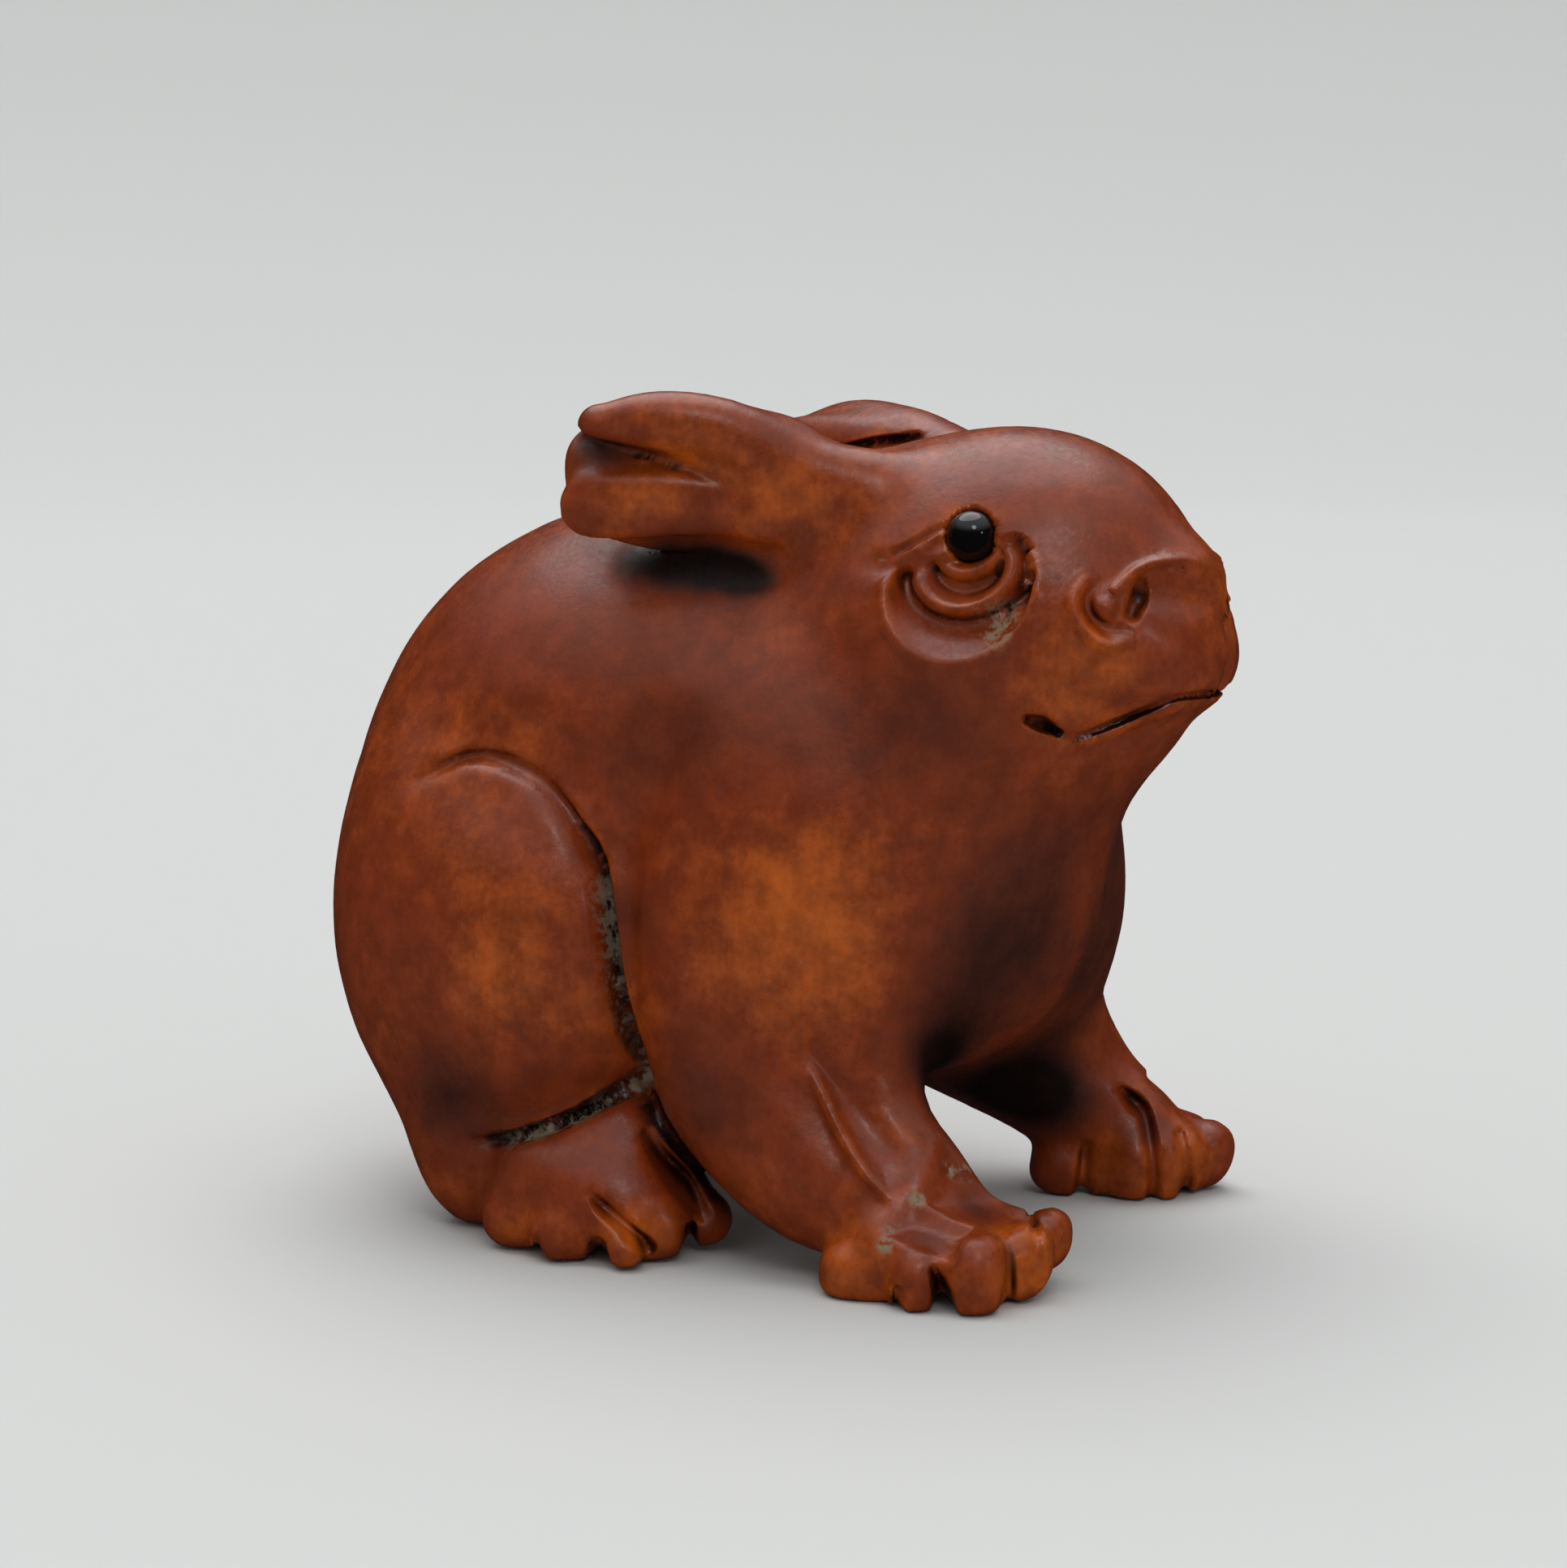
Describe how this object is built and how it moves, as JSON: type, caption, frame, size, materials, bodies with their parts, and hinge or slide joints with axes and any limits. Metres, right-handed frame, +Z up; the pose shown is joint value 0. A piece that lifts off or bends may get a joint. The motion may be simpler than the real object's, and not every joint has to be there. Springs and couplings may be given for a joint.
{
  "type": "rabbit netsuke",
  "caption": "Small stained-boxwood toggle carving of a crouching rabbit with ears laid back and inlaid glossy black bead eyes.",
  "frame": {"origin": "centre of the figure's bounding box on the surface it stands on", "axes": "+X toward the nose, +Y toward the rabbit's left side, +Z up"},
  "size_m": [0.0426, 0.029, 0.0373],
  "materials": {
    "boxwood": "stained and hand-polished, satin, with darker hollows",
    "black_bead": "polished black horn or glass, high gloss"
  },
  "bodies": {
    "root": {"carved_rabbit": "boxwood", "right_eye_bead": "black_bead", "left_eye_bead": "black_bead"}
  },
  "joints": []
}
